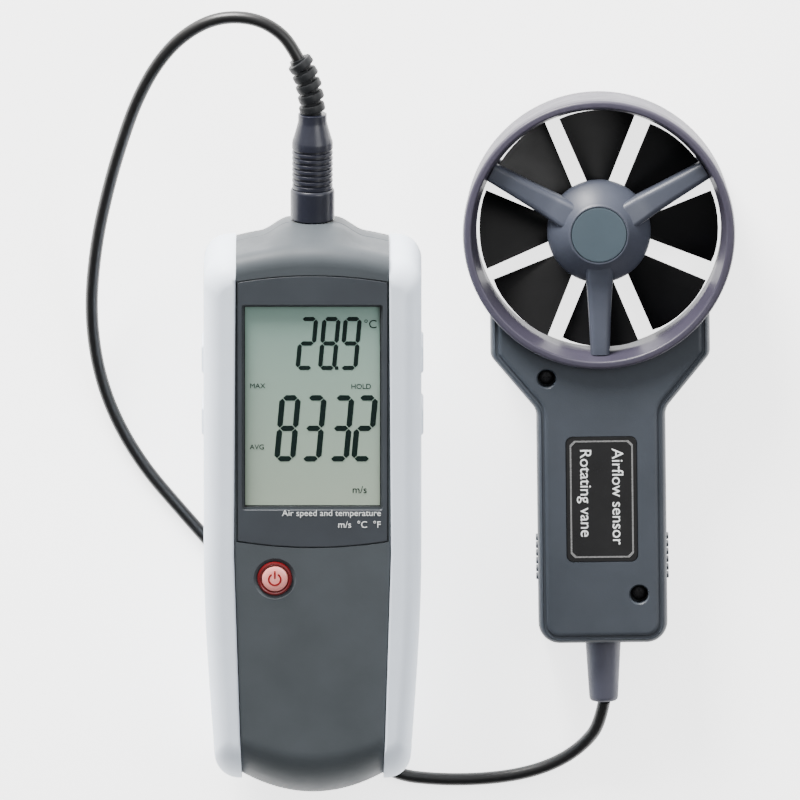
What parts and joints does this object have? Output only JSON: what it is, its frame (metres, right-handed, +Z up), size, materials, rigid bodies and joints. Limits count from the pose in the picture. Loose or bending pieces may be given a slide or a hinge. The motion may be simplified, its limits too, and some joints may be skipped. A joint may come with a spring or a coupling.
{
  "type": "vane anemometer",
  "caption": "Handheld air speed meter with a display, soft side cheeks, a fold-out foot and a corded vane probe lying beside it.",
  "frame": {"origin": "centre of the table area that the meter and the probe cover together, at table height", "axes": "+Z up, along the rotor's axis; +Y from the meter's bottom end towards its plug end; +X from the meter to the probe"},
  "size_m": [0.2243, 0.2779, 0.0738],
  "materials": {
    "case_grey": "fine matt moulded grain",
    "cheek_light": "smooth satin overmould",
    "bezel": "smooth satin",
    "lens_clear": "clear",
    "lcd": "reflective liquid crystal",
    "backlight": "white diffuser",
    "key_ring": "gloss dark red",
    "key_cap": "translucent pale red",
    "spring_steel": "bright",
    "circuit_board": "solder mask",
    "chip_black": "moulded epoxy",
    "buzzer_black": "moulded",
    "screw_steel": "zinc plated",
    "socket_black": "moulded",
    "nickel": "nickel plated",
    "battery_jacket": "plain printed jacket",
    "snap_black": "soft vinyl",
    "cover_grey": "fine matt moulded grain",
    "stand_grey": "fine matt moulded grain",
    "black_rubber": "matt",
    "brass": "turned",
    "ring_grey": "satin moulded",
    "spider_grey": "satin moulded",
    "cap_grey": "satin",
    "blade_black": "satin black film",
    "bush": "sintered bronze",
    "magnet": "nickel plated",
    "probe_grey": "fine matt moulded grain",
    "label": "black film with a silver line",
    "gland_grey": "matt",
    "plug_black": "satin",
    "cord_jacket": "smooth satin PVC jacket"
  },
  "bodies": {
    "meter": {"front_shell": "case_grey", "rear_shell": "case_grey", "left_cheek": "cheek_light", "right_cheek": "cheek_light", "display_bezel": "bezel", "display_lens": "lens_clear", "lcd_panel": "lcd", "lcd_backlight": "backlight", "button_ring": "key_ring", "key_dome": "spring_steel", "main_board": "circuit_board", "board_chips": "chip_black", "buzzer": "buzzer_black", "board_screws": "screw_steel", "probe_socket": "socket_black", "socket_ring": "nickel", "battery": "battery_jacket", "battery_terminals": "nickel", "battery_snap": "snap_black", "stand_pin": "spring_steel", "tripod_nut": "brass", "rear_foot": "black_rubber", "case_screws": "screw_steel"},
    "power_key": {"power_button": "key_cap"},
    "cover": {"battery_cover": "cover_grey"},
    "stand": {"tilt_stand": "stand_grey", "stand_pad": "black_rubber"},
    "probe": {"plug_collar": "plug_black", "plug_pins": "nickel", "plug_grip": "plug_black", "plug_boot": "plug_black", "probe_cord": "cord_jacket", "cable_gland": "gland_grey", "vane_ring": "ring_grey", "front_spider": "spider_grey", "hub_cap": "cap_grey", "rear_spider": "spider_grey", "front_bearing": "bush", "rear_bearing": "bush", "probe_front_shell": "probe_grey", "probe_rear_shell": "probe_grey", "probe_label": "label", "probe_screws": "screw_steel", "probe_board": "circuit_board", "board_parts": "chip_black", "hall_sensor": "chip_black", "air_thermistor": "chip_black"},
    "vane": {"rotor": "blade_black", "rotor_shaft": "spring_steel", "rotor_magnet": "magnet"}
  },
  "joints": [
    {"name": "plug_pull", "type": "slide", "parent": "meter", "child": "probe", "axis": [0, 0.9929, 0.1192], "range_m": [0, 0.012]},
    {"name": "vane_spin", "type": "hinge", "parent": "probe", "child": "vane", "pos_m": [0.045, 0.074, 0.012], "axis": [0, 0, 1], "continuous": true},
    {"name": "power_press", "type": "slide", "parent": "meter", "child": "power_key", "axis": [0, 0.1192, -0.9929], "range_m": [0, 0.0008], "stiffness_N_per_m": 600, "springref_m": -0.0006},
    {"name": "stand_fold", "type": "hinge", "parent": "meter", "child": "stand", "pos_m": [-0.0537, 0.01683, 0.02365], "axis": [1, 0, 0], "range_deg": [-100, 0]},
    {"name": "cover_slide", "type": "slide", "parent": "meter", "child": "cover", "axis": [0, -0.9929, -0.1192], "range_m": [0, 0.008]}
  ]
}
